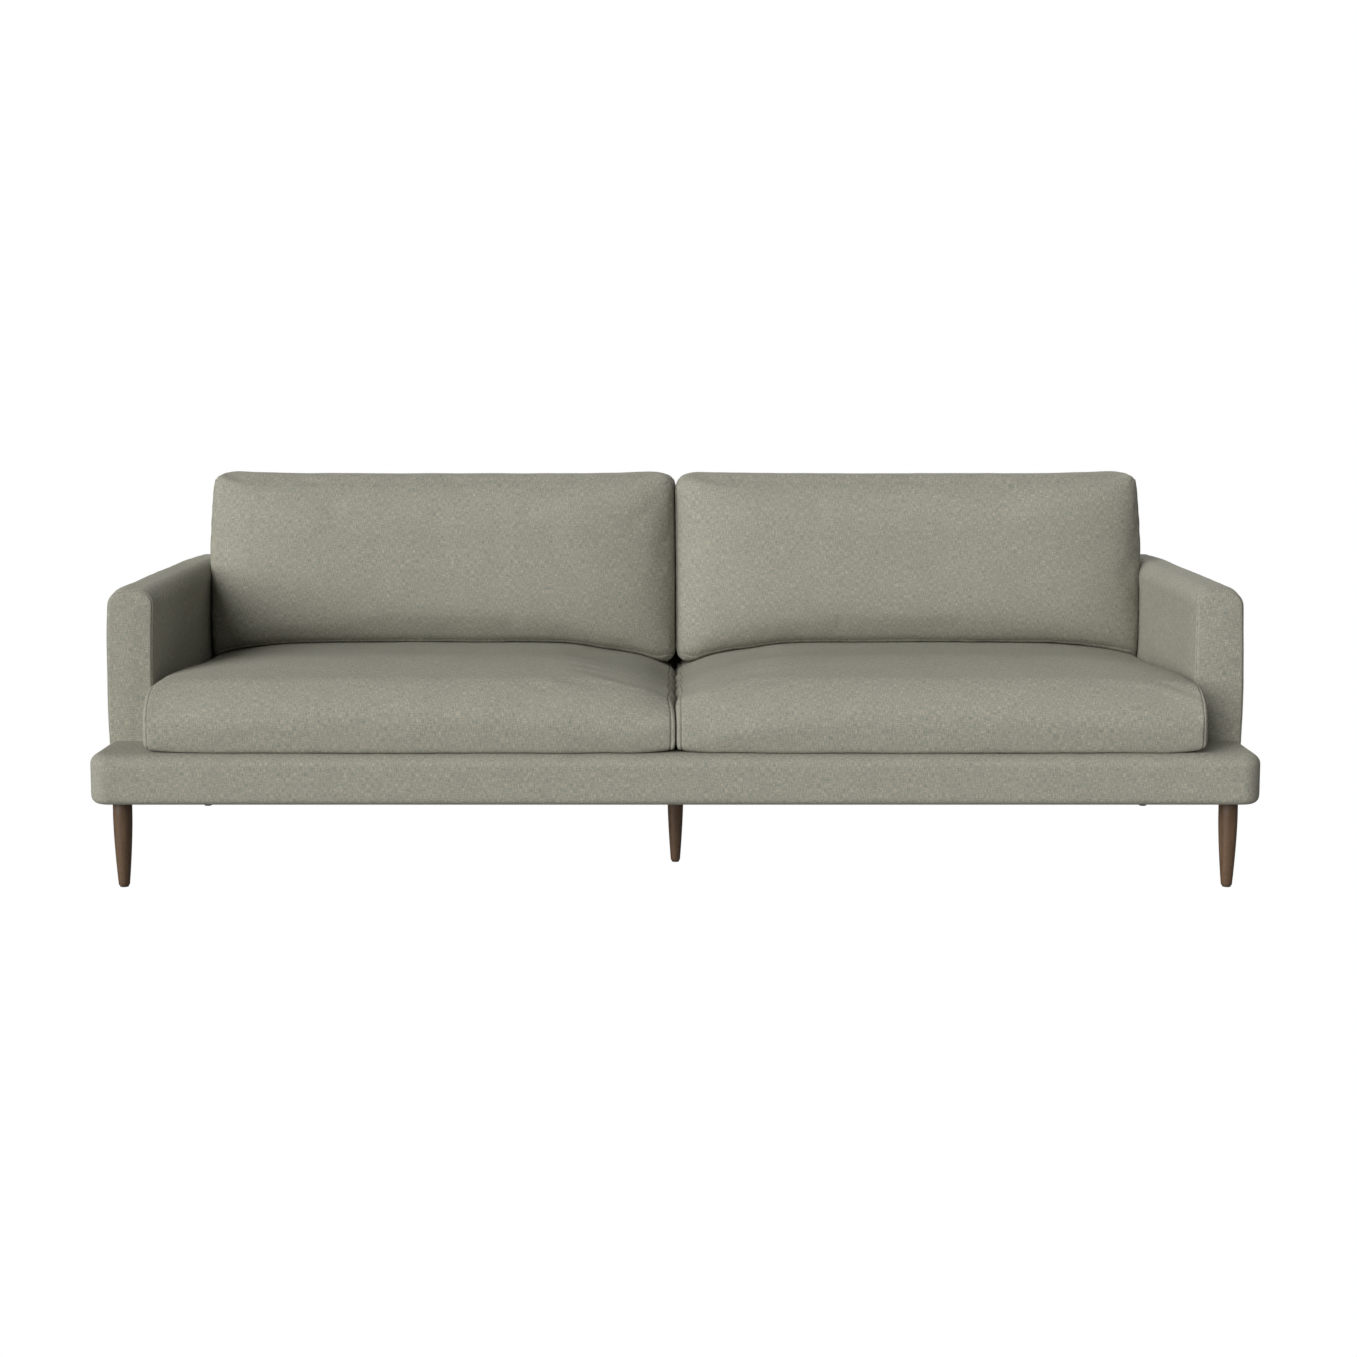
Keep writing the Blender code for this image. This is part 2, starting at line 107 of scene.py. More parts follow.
# Soft unevenness, as rows of wavelength, height and seed
RIPPLE_WAVES = 7
RIPPLE_STRETCH = (0.7, 1.4)
BASE_RIPPLES = ((0.22, 0.0007, 11), (0.07, 0.0003, 12))
ARM_RIPPLES = ((0.20, 0.0009, 21), (0.06, 0.0003, 24))
BACK_RIPPLES = ((0.25, 0.0009, 31), (0.07, 0.0003, 32))
SEAT_RIPPLES = ((0.17, 0.0007, 43), (0.05, 0.0002, 44))
PILLOW_RIPPLES = ((0.17, 0.0007, 53), (0.05, 0.0002, 54))

# Seeds for where the weave starts on each kind of piece
BASE_WEAVE = 1
ARM_WEAVE = 2
BACK_WEAVE = 7
SEAT_WEAVE = 40
PILLOW_WEAVE = 50

# Grid lines along each axis: how many steps over a rounded edge, and the spacing between the edges
BASE_LINES = ((10, 0.013), (10, 0.013), (6, 0.008))
ARM_LINES = ((12, 0.008), (24, 0.012), (12, 0.012))
BACK_LINES = ((4, 0.014), (10, 0.010), (10, 0.014))
SEAT_LINES = ((6, 0.014), (8, 0.014), (8, 0.008))
PILLOW_LINES = ((6, 0.014), (6, 0.014), (6, 0.014))

# Cloth: a negative shrinkage makes the fabric a little larger than the shape that it fills
CLOTH_FRAMES = 15
CLOTH_SETTINGS = {
    "quality": 4,
    "mass": 0.4,
    "tension_stiffness": 30.0,
    "compression_stiffness": 30.0,
    "shear_stiffness": 10.0,
    "bending_stiffness": 0.8,
    "air_damping": 3.0,
    "shrink_min": -0.003,
    "use_pressure": True,
    "uniform_pressure_force": 3.0,
}

# Platform: its rounding, its padding, and the slope of its top towards the front
BASE_CORNER = 0.040
BASE_RIM = 0.020
BASE_FOOT_RIM = 0.013
BASE_PUFF = 0.0020
BASE_SLOPE = 0.0045
BASE_SLOPE_DEPTH = 0.038

# Arms and back: both are padded panels, whose foot is folded flat a little way inside the platform. Their
# padding rises over a reach from their edges. The arms bow outwards, most a little below their middle
PANEL_FOLD = 0.035
PANEL_SINK = 0.010
PANEL_PUFF = 0.0025
PANEL_FADE = 0.05
ARM_TOP_ROUND = 0.032
ARM_FRONT_RIM = 0.0075
ARM_REAR_ROUND = 0.045
ARM_PUFF_REACH = 0.09
ARM_FRONT_REACH = 0.035
ARM_FRONT_SHARE = 0.5
ARM_FOOT_SHARE = 0.7
ARM_REAR_REACH = 6 * ARM_TOP_ROUND
ARM_SEAM = 0.0005
ARM_BAND_PUFF = 0.0020
ARM_TOP_PUFF = 0.0045
ARM_BOW = 0.0055
ARM_BOW_DROP = 0.2
BACK_END_RIM = 0.004
BACK_END_EDGE = 0.02
BACK_FOOT_FADE = 0.04
BACK_END_FADE = 0.03

# Cushions: how softly they are held off their neighbours, and how their inner ends sway along the joint
SOFT_HOLD = 0.006
FIRM_HOLD = 0.001
PINNED_SHARE = 0.1
END_POWER = 9
SWAY = 0.002
SWAY_REACH = 0.04
SWAY_DEPTH_WAVES = 38.0

# Seat cushions: the height of their edge, and the roundings of their profile at the front foot, the rear
# foot, the front top and the rear top. Pairs are for the outer and the inner half
SEAT_EDGE = 0.127
SEAT_EDGE_LINES = SEAT_EDGE * 0.45
SEAT_REACH = SEAT_EDGE / 3
SEAT_CORNERS = (0.015, 0.020, 0.074, 0.030)
SEAT_RIM = 0.014
SEAT_INNER_RIM = 0.005
SEAT_SEAM = SEAT_RIM * 2 / 3

# The crown of a seat cushion, lower at the front, its dip under the back cushion, and the fall of its ends
SEAT_CROWN = 0.030
SEAT_CROWN_POWERS = (4.3, 3.6)
SEAT_CROWN_FROM = -0.6
SEAT_CROWN_DEPTH = 0.34
SEAT_FRONT_SHARE = 0.3
SEAT_DIP = 0.027
SEAT_DIP_START = 0.13
SEAT_DIP_UNDER = 0.03
SEAT_SHOULDERS = (-0.002, 0.034)
SEAT_SHOULDER_WIDTH = 0.045

# The front edge of a seat cushion sags between its corners, and its front and ends bulge
SEAT_SAG = 0.008
SEAT_SAG_POWER = 6
SEAT_SAG_DEPTH = 0.07
SEAT_CORNER_LIFT = 0.005
SEAT_CORNER_START = 0.84
SEAT_FRONT_BULGE = 0.013
SEAT_FRONT_BULGE_DEPTH = 0.08
SEAT_FRONT_BULGE_LOSS = 0.6
SEAT_FRONT_BULGE_POWER = 4
SEAT_BULGE = 0.0026
SEAT_BULGE_POWER = 6
SEAT_LIMIT = 0.004

# Back cushions: pillows with rounder corners where they meet, a little before and below their CAD box
PILLOW_LEAN = math.tan(math.radians(8))
PILLOW_RIM = 0.018
PILLOW_FOOT_CORNER = 0.034
PILLOW_TOP_CORNER = 0.036
PILLOW_FORWARD = 0.024
PILLOW_SAG = 0.022
PILLOW_END_SEAM = PILLOW_RIM / 2
PILLOW_FOOT_SEAM = PILLOW_RIM

# A pillow's front falls back towards its edges and tucks under at its foot. Its ends bulge, the outer one
# over the arm, and its top sinks between its corners
PILLOW_CROWN = 0.078
PILLOW_CROWN_POWER = 5
PILLOW_CROWN_HEIGHT_POWERS = (12, 6)
PILLOW_CROWN_SOFTNESS = 0.6
PILLOW_TUCK = 0.046
PILLOW_TUCK_HEIGHT = 0.215
PILLOW_TUCK_POWER = 2.2
PILLOW_TUCK_LOSS = 0.6
PILLOW_TUCK_END_POWER = 6
PILLOW_BULGE = 0.0026
PILLOW_OUTER_BULGE = 0.014
PILLOW_EAR = 0.007
PILLOW_EAR_START = 0.5
PILLOW_EAR_POWER = 6
PILLOW_LIMIT = 0.006
PILLOW_SINK = 0.012
PILLOW_HOLD_FADE = 0.03

# Legs: straight at the top, then tapered
LEG_TAPER_START = 0.83
LEG_TAPER_POWER = 1.6
LEG_TIP_SHARE = 0.58
LEG_TAPER_STEPS = 24
LEG_CHAMFER = 0.0012
GLIDE_CHAMFER = 0.0006
TURN_STEPS = 48
SHARP_ANGLE = math.radians(50)

SIDES = (("left", -1), ("right", 1))
LEGS = ("front_left", "front_right", "rear_left", "rear_right", "centre")


# ---------------------------------------------------------------- numbers


def smoothstep(low, high, value):
    share = np.clip((value - low) / (high - low), 0.0, 1.0)
    return share * share * (3.0 - 2.0 * share)


def bell(distance, width):
    return np.exp(-((distance / width) ** 2))


def ripple(points, wavelength, seed):
    """A smooth random field of about -1 to 1, which is the same on every run."""
    rng = np.random.default_rng(seed)
    total = np.zeros(len(points))
    for _ in range(RIPPLE_WAVES):
        direction = rng.normal(size=3)
        direction /= np.linalg.norm(direction)
        stretch = rng.uniform(*RIPPLE_STRETCH)
        phase = rng.uniform(0.0, 2.0 * math.pi)
        total += np.sin(points @ direction * (2.0 * math.pi / (wavelength * stretch)) + phase)
    return total / math.sqrt(RIPPLE_WAVES * 2.0)


def unevenness(points, ripples, seed_shift=0):
    """The sum of the given ripples, as a height at each point."""
    return sum(ripple(points, length, seed + seed_shift) * height for length, height, seed in ripples)


def share(values, low, high):
    """From -1 at low to 1 at high."""
    return (values - (low + high) / 2) / ((high - low) / 2)


def hold_under(values, limit, softness):
    """Presses values that pass a limit back to it, with a soft shoulder."""
    over = values - (limit - softness)
    return np.where(over > 0, limit - softness * np.exp(-np.maximum(over, 0) / softness), values)


def hold_between(values, low, high, softness):
    return -hold_under(-hold_under(values, high, softness), -low, softness)


# ---------------------------------------------------------------- meshes


def lines(low, high, edge, edge_steps, spacing):
    """Places of grid lines from low to high: edge_steps over each end's edge, with the spacing between."""
    steps = max(2, round((high - low - 2 * edge) / spacing))
    first = np.linspace(low, low + edge, edge_steps + 1)
    middle = np.linspace(low + edge, high - edge, steps + 1)
    last = np.linspace(high - edge, high, edge_steps + 1)
    return np.concatenate((first, middle[1:-1], last))


def box_lines(low, high, edges, line_rows):
    """A box's grid lines along each axis, from the widths of its edges and rows of edge steps and spacing."""
    return [lines(low[axis], high[axis], edges[axis], *line_rows[axis]) for axis in range(3)]


def box_grid(name, grid_lines, seed):
    """A closed box of quads on the given lines, with a weave map in metres. Returns it and its points."""
    counts = [len(places) for places in grid_lines]
    on_surface = np.zeros(counts, bool)
    for axis in range(3):
        for end in (0, -1):
            np.moveaxis(on_surface, axis, 0)[end] = True
    index = np.full(counts, -1)
    index[on_surface] = np.arange(on_surface.sum())
    points = np.stack(np.meshgrid(*grid_lines, indexing="ij"), axis=-1)[on_surface]
    offset = np.random.default_rng(seed).uniform(0.0, 1.0, 2)
    quads, maps = [], []
    for axis in range(3):
        across = [other for other in range(3) if other != axis]
        for end in (0, -1):
            side = np.take(index, end, axis=axis)
            corners = (side[:-1, :-1], side[1:, :-1], side[1:, 1:], side[:-1, 1:])
            quad = np.stack(corners, axis=-1).reshape(-1, 4)
            if (end == 0) != (axis == 1):
                quad = quad[:, ::-1]
            quads.append(quad)
            maps.append(points[quad.ravel()][:, across] + offset)
    mesh = bpy.data.meshes.new(name)
    mesh.from_pydata(points.tolist(), [], np.concatenate(quads).tolist())
    weave = mesh.uv_layers.new(name=WEAVE_MAP)
    weave.data.foreach_set("uv", np.concatenate(maps).ravel())
    mesh.polygons.foreach_set("use_smooth", [True] * len(mesh.polygons))
    piece = bpy.data.objects.new(name, mesh)
    bpy.context.scene.collection.objects.link(piece)
    return piece, points


def read_points(mesh):
    flat = np.empty(len(mesh.vertices) * 3)
    mesh.vertices.foreach_get("co", flat)
    return flat.reshape(-1, 3)


def write_points(mesh, points):
    mesh.vertices.foreach_set("co", points.ravel())
    mesh.update()


def read_normals(mesh):
    flat = np.empty(len(mesh.vertices) * 3)
    mesh.vertices.foreach_get("normal", flat)
    return flat.reshape(-1, 3)


def push(mesh, distance):
    """Moves each point along its normal."""
    write_points(mesh, read_points(mesh) + read_normals(mesh) * distance[:, None])


def mark_seam(piece, distance):
    """Records each point's distance to the nearest seam, for the painted shade along the seams in the
    fabric's colour and for stitch().
    """
    piece.data.attributes.new(SEAM, "FLOAT", "POINT").data.foreach_set("value", distance)


def stitch(piece, depth, soft):
    """Draws the fabric in along its seams, and adds a soft unevenness."""
    distance = np.empty(len(piece.data.vertices))
    piece.data.attributes[SEAM].data.foreach_get("value", distance)
    push(piece.data, soft - depth * bell(distance, STITCH_WIDTH))


def apply_modifiers(piece):
    bpy.context.view_layer.update()
    graph = bpy.context.evaluated_depsgraph_get()
    evaluated = piece.evaluated_get(graph)
    mesh = bpy.data.meshes.new_from_object(evaluated, preserve_all_data_layers=True, depsgraph=graph)
    piece.modifiers.clear()
    piece.data = mesh


def refine(piece):
    subdivision = piece.modifiers.new("refine", "SUBSURF")
    subdivision.levels = 1
    subdivision.render_levels = 1
    apply_modifiers(piece)


def to_disc(u, v):
    """Moves points of the unit square's corner region onto the quarter disc that fits in it."""
    length = np.hypot(u, v)
    scale = np.where(length > 0, np.maximum(u, v) / np.where(length > 0, length, 1.0), 1.0)
    return u * scale, v * scale


def rounded(points, low, high, plane, corner_radii, rim_radii):
    """Rounds a box: its outline in a plane, then the rims where the outline meets the two faces across it.

    The corner radii are for the outline's (low, low), (high, low), (low, high) and (high, high) corners. The
    rim radii are for the low and the high face, and are no more than a corner radius.
    """
    a, b = plane
    c = 3 - a - b
    low, high = np.array(low, float), np.array(high, float)
    half = (high - low) / 2
    centred = points - (low + high) / 2
    sign = np.where(centred < 0, -1.0, 1.0)
    size = np.abs(centred)
    at_high_a, at_high_b = sign[:, a] > 0, sign[:, b] > 0
    radius = np.array(corner_radii)[at_high_a.astype(int) + 2 * at_high_b.astype(int)]
    rim = np.where(sign[:, c] > 0, rim_radii[1], rim_radii[0])
    from_a, from_b = half[a] - size[:, a], half[b] - size[:, b]
    wall, face = np.minimum(from_a, from_b), half[c] - size[:, c]
    in_rim = (wall < rim) & (face < rim)
    u, v = to_disc(rim - wall, rim - face)
    new_wall = np.where(in_rim, rim - u, wall)
    size[:, c] = half[c] - np.where(in_rim, rim - v, face)
    u, v = radius - from_a, radius - from_b
    in_corner = (u > 0) & (v > 0)
    reach = np.where(in_corner, np.maximum(u, v), 1.0)
    scale = np.maximum(radius - new_wall, 0.0) / reach
    corner_u, corner_v = to_disc(u * scale, v * scale)
    nearer_a = from_a < from_b
    size[:, a] = np.where(
        in_corner, half[a] - radius + corner_u, np.where(nearer_a, half[a] - new_wall, size[:, a])
    )
    size[:, b] = np.where(
        in_corner, half[b] - radius + corner_v, np.where(nearer_a, size[:, b], half[b] - new_wall)
    )
    return size * sign + (low + high) / 2


def round_upright_corner(points, corner, inward, radius):
    """Rounds the vertical corner at (x, y) corner, whose box lies to the inward signs of it."""
    u = radius - (points[:, 0] - corner[0]) * inward[0]
    v = radius - (points[:, 1] - corner[1]) * inward[1]
    near = (u > 0) & (v > 0)
    disc_u, disc_v = to_disc(np.maximum(u, 0), np.maximum(v, 0))
    moved = points.copy()
    moved[:, 0] = np.where(near, corner[0] + (radius - disc_u) * inward[0], points[:, 0])
    moved[:, 1] = np.where(near, corner[1] + (radius - disc_v) * inward[1], points[:, 1])
    return moved


def cut_box(piece, low, high):
    """Cuts a box out of a piece, to make its hollow underside."""
    cutter, _ = box_grid("cutter", [np.array([low[axis], high[axis]]) for axis in range(3)], 0)
    boolean = piece.modifiers.new("hollow", "BOOLEAN")
    boolean.operation = "DIFFERENCE"
    boolean.solver = "EXACT"
    boolean.object = cutter
    apply_modifiers(piece)
    bpy.data.objects.remove(cutter, do_unlink=True)


# ---------------------------------------------------------------- materials


class Graph:
    """A material's nodes. A value given to an input is set on it, and a socket is linked to it."""

    def __init__(self, name):
        self.material = bpy.data.materials.new(name)
        self.material.use_nodes = True
        self.tree = self.material.node_tree
        self.shader = self.tree.nodes["Principled BSDF"]

    def node(self, kind, inputs, **settings):
        node = self.tree.nodes.new("ShaderNode" + kind)
        for name, value in settings.items():
            setattr(node, name, value)
        self.feed(node, inputs)
        return node

    def feed(self, node, inputs):
        for name, value in inputs.items():
            if isinstance(value, bpy.types.NodeSocket):
                self.tree.links.new(value, node.inputs[name])
            else:
                node.inputs[name].default_value = value

    def math(self, operation, first, second):
        return self.node("Math", {0: first, 1: second}, operation=operation).outputs[0]

    def noise(self, vector, scale, detail=2.0, roughness=0.5, distortion=0.0):
        inputs = {
            "Vector": vector,
            "Scale": scale,
            "Detail": detail,
            "Roughness": roughness,
            "Distortion": distortion,
        }
        return self.node("TexNoise", inputs).outputs["Fac"]

    def stretched(self, vector, scale):
        return self.node("Mapping", {"Vector": vector, "Scale": scale}).outputs[0]

    def ramp(self, value, stops):
        node = self.node("ValToRGB", {"Fac": value})
        elements = node.color_ramp.elements
        while len(elements) < len(stops):
            elements.new(1.0)
        for element, (position, colour) in zip(elements, stops):
            element.position = position
            element.color = (*colour, 1.0)
        return node.outputs["Color"]

    def mix(self, factor, first, second, blend="MIX"):
        node = self.node("Mix", {}, data_type="RGBA", blend_type=blend)
        self.feed(node, {0: factor, 6: first, 7: second})
        return node.outputs[2]

    def bump(self, height, distance, strength):
        return self.node("Bump", {"Height": height, "Distance": distance, "Strength": strength}).outputs[0]


def grey(value):
    return (value, value, value)


def upholstery_fabric():
    """A plain weave of mixed yarns: grey-beige, with slubs of blue-grey and of pale beige, and painted shade
    along its seams.
    """
    graph = Graph("upholstery")
    weave = graph.node("UVMap", {}, uv_map=WEAVE_MAP).outputs[0]
    place = graph.node("TexCoord", {}).outputs["Object"]
    warp = graph.noise(graph.stretched(weave, (600.0, 90.0, 1.0)), 1.0, 1.5, 0.6)
    weft = graph.noise(graph.stretched(weave, (90.0, 600.0, 1.0)), 1.0, 1.5, 0.6)
    crossed = graph.math("ADD", graph.math("MULTIPLY", warp, 0.55), graph.math("MULTIPLY", weft, 0.45))
    fibre = graph.noise(weave, 700.0)
    yarn = graph.node("Mix", {0: 0.12, 2: crossed, 3: fibre}, data_type="FLOAT").outputs[0]
    colour = graph.ramp(yarn, YARN_COLOURS)
    haze = graph.noise(place, 16.0, 3.0, 0.6)
    colour = graph.mix(graph.math("MULTIPLY", haze, 0.30), colour, HAZE_COLOUR)
    blotch = graph.ramp(graph.noise(place, 22.0, 3.0, 0.6), [(0.3, grey(0.935)), (0.7, grey(1.0))])
    colour = graph.mix(1.0, colour, blotch, "MULTIPLY")
    # Painted shade: within about 2 mm of a seam the colour is drawn up to 45% towards the dark seam colour,
    # standing in for the shade in the groove
    distance = graph.node("Attribute", {}, attribute_name=SEAM).outputs["Fac"]
    seam = graph.node(
        "MapRange", {"Value": distance, "From Min": 0.0002, "From Max": 0.0020, "To Min": 0.45, "To Max": 0.0}
    )
    colour = graph.mix(seam.outputs[0], colour, SEAM_SHADE_COLOUR)
    fuzz = graph.noise(place, 900.0, 2.0, 0.7)
    rough = graph.node(
        "MapRange", {"Value": fuzz, "From Min": 0.3, "From Max": 0.7, "To Min": 0.86, "To Max": 1.0}
    )
    height = graph.math("ADD", yarn, graph.math("MULTIPLY", fuzz, 0.5))
    graph.feed(
        graph.shader,
        {
            "Base Color": colour,
            "Roughness": rough.outputs[0],
            "Normal": graph.bump(height, 0.0009, 0.8),
            "Specular IOR Level": 0.08,
            "Sheen Weight": 0.04,
            "Sheen Roughness": 0.5,
            "Sheen Tint": SHEEN_COLOUR,
        },
    )
    return graph.material


def walnut_wood():
    """Dark oiled wood with its grain along the leg."""
    graph = Graph("walnut")
    place = graph.node("TexCoord", {}).outputs["Object"]
    bend = graph.noise(graph.stretched(place, (9.0, 9.0, 3.0)), 1.0, 2.0)
    shift = graph.node("CombineXYZ", {"X": graph.math("MULTIPLY", bend, 0.02)}).outputs[0]
    bent = graph.node("VectorMath", {0: place, 1: shift}, operation="ADD").outputs[0]
    grain = graph.noise(graph.stretched(bent, (260.0, 260.0, 9.0)), 1.0, 4.0, 0.6, 0.6)
    pores = graph.noise(graph.stretched(bent, (1300.0, 1300.0, 45.0)), 1.0, 1.0)
    figure = graph.noise(graph.stretched(bent, (60.0, 60.0, 5.0)), 1.0, 2.0)
    colour = graph.mix(figure, graph.ramp(grain, WALNUT_COLOURS), FIGURE_COLOUR)
    open_pore = graph.ramp(pores, [(0.30, grey(0.45)), (0.42, grey(1.0))])
    colour = graph.mix(1.0, colour, open_pore, "MULTIPLY")
    rough = graph.node("MapRange", {"Value": grain, "To Min": 0.42, "To Max": 0.62})
    graph.feed(
        graph.shader,
        {
            "Base Color": colour,
            "Roughness": rough.outputs[0],
            "Normal": graph.bump(graph.math("ADD", pores, grain), 0.0003, 0.6),
            "Specular IOR Level": 0.4,
        },
    )
    return graph.material


def sawn_timber():
    graph = Graph("timber")
    place = graph.node("TexCoord", {}).outputs["Object"]
    grain = graph.noise(graph.stretched(place, (12.0, 60.0, 60.0)), 1.0, 4.0, 0.6, 0.8)
    colour = graph.ramp(grain, [(0.3, (0.43, 0.27, 0.13)), (0.7, (0.66, 0.48, 0.29))])
    saw_marks = graph.noise(graph.stretched(place, (500.0, 90.0, 90.0)), 1.0, 2.0)
    rough = graph.node("MapRange", {"Value": saw_marks, "To Min": 0.65, "To Max": 0.85}).outputs[0]
    graph.feed(
        graph.shader,
        {"Base Color": colour, "Roughness": rough, "Normal": graph.bump(saw_marks, 0.0005, 0.7)},
    )
    return graph.material


def webbing_fabric():
    graph = Graph("webbing")
    place = graph.node("TexCoord", {}).outputs["Object"]
    ribs = graph.node("TexWave", {"Vector": place, "Scale": 160.0}, bands_direction="X").outputs["Fac"]
    fibre = graph.noise(place, 700.0, 2.0)
    ribbed_fibre = graph.math("MULTIPLY", ribs, fibre)
    colour = graph.ramp(ribbed_fibre, [(0.1, (0.05, 0.045, 0.04)), (0.6, (0.2, 0.18, 0.15))])
    graph.feed(
        graph.shader,
        {"Base Color": colour, "Roughness": 0.9, "Normal": graph.bump(ribs, 0.0006, 0.8)},
    )
    return graph.material


def dust_cloth():
    """Black non-woven lining, with the pressed dots that hold its fibres."""
    graph = Graph("dust_cloth")
    place = graph.node("TexCoord", {}).outputs["Object"]
    fibre = graph.noise(place, 420.0, 4.0, 0.7)
    dots = graph.node("TexVoronoi", {"Vector": place, "Scale": 420.0}).outputs["Distance"]
    colour = graph.ramp(fibre, [(0.3, grey(0.010)), (0.7, grey(0.030))])
    graph.feed(
        graph.shader,
        {"Base Color": colour, "Roughness": 0.9, "Normal": graph.bump(dots, 0.0003, 0.6)},
    )
    return graph.material


def zinc_steel():
    graph = Graph("steel")
    place = graph.node("TexCoord", {}).outputs["Object"]
    spangle = graph.node("TexVoronoi", {"Vector": place, "Scale": 260.0}).outputs["Color"]
    scratch = graph.noise(graph.stretched(place, (900.0, 60.0, 900.0)), 1.0, 2.0)
    rough = graph.node("MapRange", {"Value": scratch, "To Min": 0.28, "To Max": 0.48})
    colour = graph.mix(0.10, (0.52, 0.52, 0.53, 1.0), spangle)
    graph.feed(
        graph.shader,
        {
            "Base Color": colour,
            "Roughness": rough.outputs[0],
            "Metallic": 1.0,
            "Normal": graph.bump(scratch, 0.0001, 0.5),
        },
    )
    return graph.material


def felt_pad():
    graph = Graph("felt")
    place = graph.node("TexCoord", {}).outputs["Object"]
    fibre = graph.noise(place, 1500.0, 4.0, 0.7)
    colour = graph.ramp(fibre, [(0.3, (0.030, 0.022, 0.016)), (0.7, (0.090, 0.070, 0.052))])
    graph.feed(
        graph.shader,
        {
            "Base Color": colour,
            "Roughness": 0.98,
            "Sheen Weight": 0.4,
            "Normal": graph.bump(fibre, 0.0004, 0.8),
        },
    )
    return graph.material


def foam_rubber():
    graph = Graph("foam")
    place = graph.node("TexCoord", {}).outputs["Object"]
    cells = graph.node("TexVoronoi", {"Vector": place, "Scale": 700.0}).outputs["Distance"]
    colour = graph.ramp(cells, [(0.0, (0.62, 0.57, 0.43)), (0.6, (0.80, 0.76, 0.62))])
    graph.feed(
        graph.shader,
        {"Base Color": colour, "Roughness": 0.95, "Normal": graph.bump(cells, 0.0006, 0.8)},
    )
    return graph.material


def make_materials():
    return {
        "upholstery": upholstery_fabric(),
        "walnut": walnut_wood(),
        "timber": sawn_timber(),
        "webbing": webbing_fabric(),
        "dust_cloth": dust_cloth(),
        "steel": zinc_steel(),
        "felt": felt_pad(),
        "foam": foam_rubber(),
    }


def finish_piece(piece, slot, body, *replaced):
    """Gives a piece its material, its body and the CAD nodes that it stands for."""
    piece.data.materials.clear()
    piece.data.materials.append(materials[slot])
    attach(piece, body)
    if replaced:
        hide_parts(*replaced)


def dress_cad_nodes():
    """Every CAD node gets the material of its slot."""
    slots = {entry["node"]: entry["material_slot"] for entry in frame["record"]["subparts"]}
    for name, node in frame["nodes"].items():
        node.data.materials.clear()
        node.data.materials.append(materials[slots[name]])


# ---------------------------------------------------------------- platform, arms and back


def platform():
    """The padded platform, with rounded corners, and open from below round its frame and webbing."""
    low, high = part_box("base_cover")
    places = box_lines(low, high, (BASE_CORNER, BASE_CORNER, BASE_RIM), BASE_LINES)
    piece, points = box_grid("platform_upholstery", places, BASE_WEAVE)
    shaped = rounded(points, low, high, (0, 1), [BASE_CORNER] * 4, (BASE_FOOT_RIM, BASE_RIM))
    near_front = 1 - smoothstep(0.0, BASE_SLOPE_DEPTH, shaped[:, 1] - low.y)
    shaped[:, 2] -= BASE_SLOPE * near_front * smoothstep(low.z, high.z, shaped[:, 2])
    write_points(piece.data, shaped)
    off_foot = smoothstep(0.0, BASE_RIM, shaped[:, 2] - low.z)
    off_top = smoothstep(0.0, BASE_RIM, high.z - shaped[:, 2])
    push(piece.data, BASE_PUFF * (off_foot * off_top) + unevenness(shaped, BASE_RIPPLES) * off_foot)
    mark_seam(piece, np.full(len(points), FAR_FROM_SEAM))
    hollow_low, hollow_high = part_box("dust_cover")
    hollow_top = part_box("webbing_strap_1")[1].z + DECK_GAP
    cut_box(
        piece,
        (hollow_low.x, hollow_low.y, low.z - PANEL_FOLD),
        (hollow_high.x, hollow_high.y, hollow_top),
    )
    finish_piece(piece, "upholstery", "frame", "base_cover")
    return piece


def padded_panel(name, places, seed, low, high, plane, rims):
    """A standing panel with a rounded top. Its points go on past its foot, where plant() folds them flat."""
    piece, points = box_grid(name, places, seed)
    foot = (low.x, low.y, low.z - PANEL_FOLD)
    stretched = points.copy()
    stretched[:, 2] = high.z - (high.z - points[:, 2]) * (high.z - foot[2]) / (high.z - low.z)
    return piece, points, rounded(stretched, foot, high, plane, [ARM_TOP_ROUND] * 4, rims)


def bowed_out(points, low, high, sign):
    """An arm's places across, bowed outwards: all of the left arm, and the outer side of the right one."""
    outward = smoothstep(0.0, 1.0, share(points[:, 0] * sign, low.x, high.x))
    up = np.clip(share(points[:, 2], low.z, high.z), -1.0, 1.0)
    bow = 1 - (ARM_BOW_DROP + (1 - ARM_BOW_DROP) * up) ** 2
    return points[:, 0] + sign * ARM_BOW * outward * bow


def arm_puff(points, shaped, low, high, to_wall, on_front, behind):
    """How far an arm's padding stands out, at each point."""
    above_foot = smoothstep(0.0, PANEL_FADE, points[:, 2] - low.z)
    height = ARM_FOOT_SHARE + (1 - ARM_FOOT_SHARE) * above_foot
    on_panel = smoothstep(0.0, ARM_FRONT_REACH, to_wall) * on_front * ARM_FRONT_SHARE
    middle = smoothstep(0.0, ARM_PUFF_REACH, to_wall) + on_panel
    topside = smoothstep(high.z - 2 * ARM_TOP_ROUND, high.z, shaped[:, 2])
    rearward = smoothstep(high.y - ARM_REAR_REACH, high.y - ARM_TOP_ROUND, shaped[:, 1])
    band = ARM_BAND_PUFF + (ARM_TOP_PUFF - ARM_BAND_PUFF) * topside * (1 - rearward)
    return height * PANEL_PUFF * middle + band * smoothstep(0.0, PANEL_FADE, behind)


